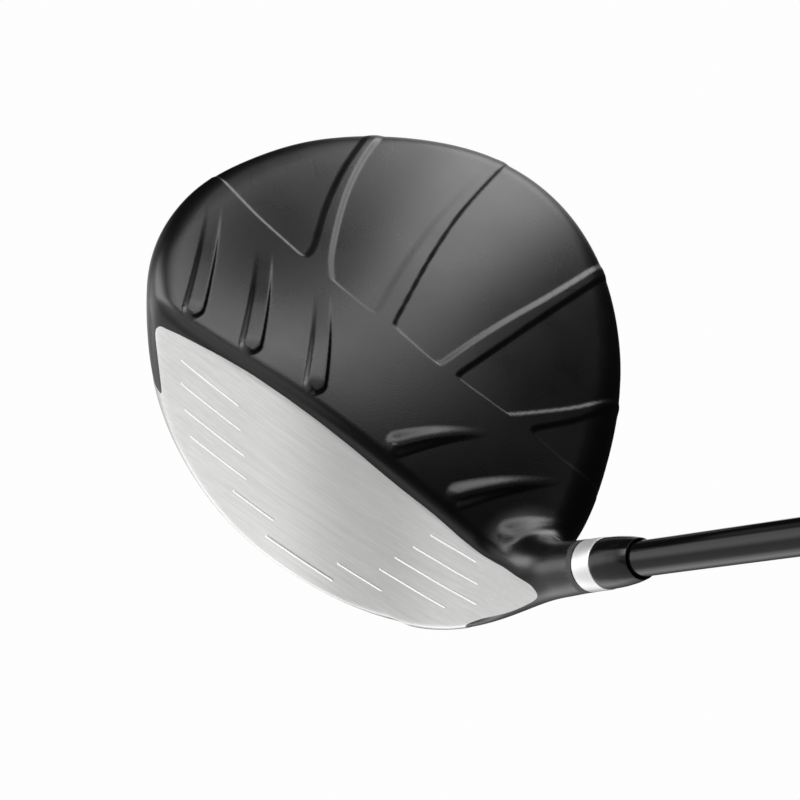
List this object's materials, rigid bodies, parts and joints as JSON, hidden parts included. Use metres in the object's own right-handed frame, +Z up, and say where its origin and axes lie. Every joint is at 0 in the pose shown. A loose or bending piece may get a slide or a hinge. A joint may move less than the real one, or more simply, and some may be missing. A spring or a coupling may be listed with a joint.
{
  "type": "golf driver",
  "caption": "Right-handed adjustable golf driver: hollow black metal head with a brushed face, airflow ridges, splined hosel adapter, tapered shaft and rubber grip.",
  "frame": {"origin": "on the small flat of the sole that rests on the ground, on the plane through the middle of the face, club at the address position", "axes": "+Z up, -Y the way the face looks (the target line), +X towards the heel and the shaft, -X towards the toe"},
  "size_m": [0.7195, 0.1227, 0.9923],
  "materials": {
    "head_paint": "satin black paint",
    "crown_paint": "matte black paint with a fine grain",
    "face_metal": "fine brushing heel to toe, bare metal",
    "weight_metal": "satin",
    "pad_rubber": "matte",
    "screw_steel": "satin",
    "adapter_aluminium": "turned satin",
    "ferrule_plastic": "gloss black",
    "shaft_paint": "clear-coated gloss black",
    "plug_plastic": "moulded",
    "tape_fabric": "paper tape",
    "grip_rubber": "moulded rubber, matte",
    "washer_steel": "satin"
  },
  "bodies": {
    "head": {"body_shell": "head_paint", "crown": "crown_paint", "face_plate": "face_metal"},
    "shaft_assembly": {"adapter_sleeve": "adapter_aluminium", "ferrule": "ferrule_plastic", "shaft": "shaft_paint", "tip_plug": "plug_plastic", "grip_tape": "tape_fabric", "grip": "grip_rubber", "grip_cap": "grip_rubber"},
    "screw_retainer": {"hosel_screw_washer": "washer_steel", "hosel_screw_clip": "washer_steel"},
    "hosel_screw": {"hosel_screw": "screw_steel"},
    "rear_weight": {"rear_weight": "weight_metal", "rear_weight_pad": "pad_rubber"},
    "rear_weight_screw": {"rear_weight_screw": "screw_steel"}
  },
  "joints": [
    {"name": "shaft_release", "type": "slide", "parent": "head", "child": "shaft_assembly", "axis": [0.5288, -0.0112, 0.8486], "range_m": [0, 0.042]},
    {"name": "hosel_screw_travel", "type": "slide", "parent": "head", "child": "screw_retainer", "axis": [-0.5288, 0.0112, -0.8486], "range_m": [0, 0.0064]},
    {"name": "hosel_screw_turn", "type": "hinge", "parent": "screw_retainer", "child": "hosel_screw", "pos_m": [0.03837, -0.01992, 0.01697], "axis": [-0.5288, 0.0112, -0.8486], "range_deg": [0, 2880]},
    {"name": "rear_weight_travel", "type": "slide", "parent": "head", "child": "rear_weight", "axis": [0, 0.4184, -0.9083], "range_m": [0, 0.007]},
    {"name": "rear_weight_screw_turn", "type": "hinge", "parent": "rear_weight", "child": "rear_weight_screw", "pos_m": [0, 0.06, 0.01422], "axis": [0, 0.4184, -0.9083], "range_deg": [0, 3600]}
  ],
  "couplings": [
    {"joint": "hosel_screw_turn", "follows": "hosel_screw_travel", "rad_per_m": 7854},
    {"joint": "rear_weight_screw_turn", "follows": "rear_weight_travel", "rad_per_m": 8976}
  ]
}
